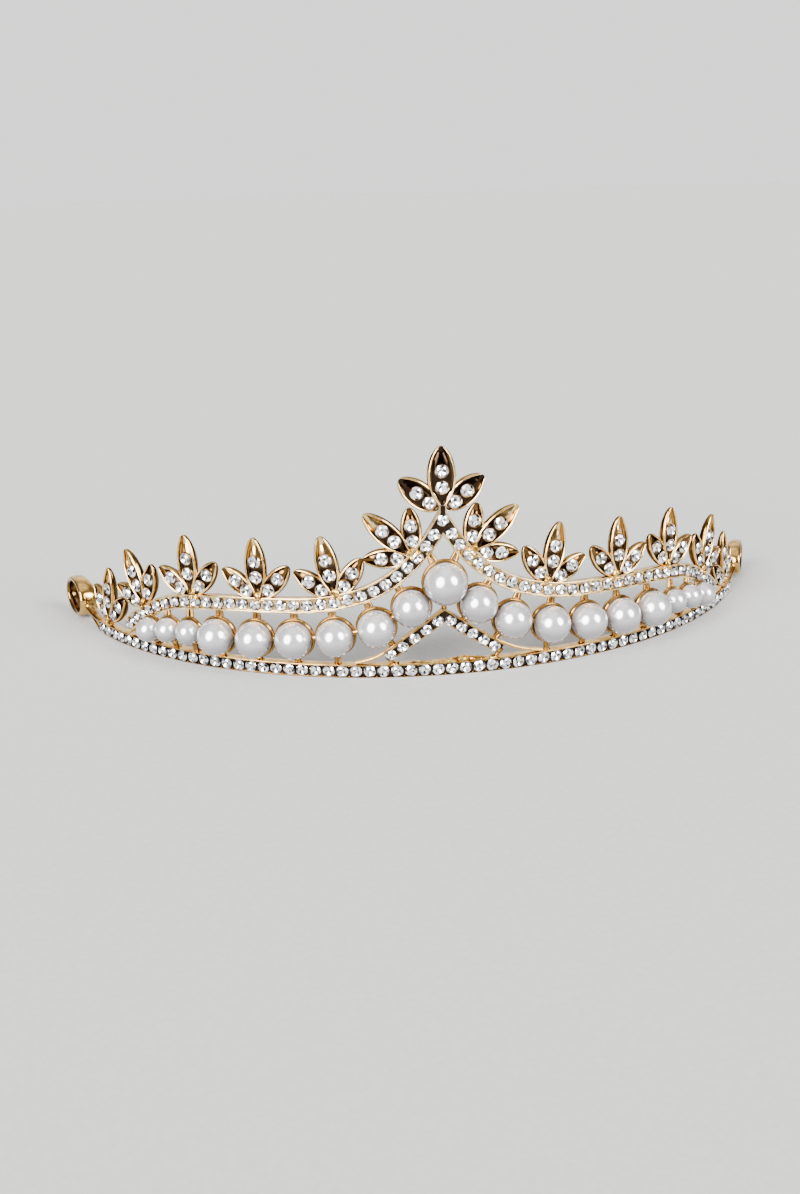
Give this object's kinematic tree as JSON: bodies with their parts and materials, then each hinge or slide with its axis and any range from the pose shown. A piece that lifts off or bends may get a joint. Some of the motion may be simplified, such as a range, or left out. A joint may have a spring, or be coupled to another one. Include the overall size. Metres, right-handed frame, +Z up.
{
  "type": "bridal tiara",
  "caption": "Open-backed bridal tiara: a slim curved band carries a peaked swag rail of cut stones, pearls in wire cups and leaf trios, with a ribbon loop at each end.",
  "frame": {"origin": "centre of the bounding box on the table surface under the band", "axes": "+X to the right as seen from the front, +Y from the front of the head to the back, +Z up"},
  "size_m": [0.1726, 0.0658, 0.0486],
  "materials": {
    "gold": "polished pale gold plating",
    "pearl": "satin pearl lustre, faintly lavender",
    "crystal": "clear cut crystal"
  },
  "bodies": {
    "root": {"apex_stone": "crystal", "band_stones": "crystal", "base_band": "gold", "centre_pearl_cup": "gold", "chevron": "gold", "chevron_stones_left": "crystal", "chevron_stones_right": "crystal", "end_loop_left": "gold", "end_loop_right": "gold", "leaf_trio_centre": "gold", "leaf_trio_end_left": "gold", "leaf_trio_end_right": "gold", "leaf_trio_fifth_left": "gold", "leaf_trio_fifth_right": "gold", "leaf_trio_fourth_left": "gold", "leaf_trio_fourth_right": "gold", "leaf_trio_inner_left": "gold", "leaf_trio_inner_right": "gold", "leaf_trio_second_left": "gold", "leaf_trio_second_right": "gold", "leaf_trio_third_left": "gold", "leaf_trio_third_right": "gold", "pearl_centre": "pearl", "pearl_gallery_left": "gold", "pearl_gallery_right": "gold", "pearl_left_1": "pearl", "pearl_left_2": "pearl", "pearl_left_3": "pearl", "pearl_left_4": "pearl", "pearl_left_5": "pearl", "pearl_left_6": "pearl", "pearl_left_7": "pearl", "pearl_left_8": "pearl", "pearl_left_9": "pearl", "pearl_right_1": "pearl", "pearl_right_2": "pearl", "pearl_right_3": "pearl", "pearl_right_4": "pearl", "pearl_right_5": "pearl", "pearl_right_6": "pearl", "pearl_right_7": "pearl", "pearl_right_8": "pearl", "pearl_right_9": "pearl", "swag_rail": "gold", "swag_stones_left": "crystal", "swag_stones_right": "crystal"}
  },
  "joints": []
}
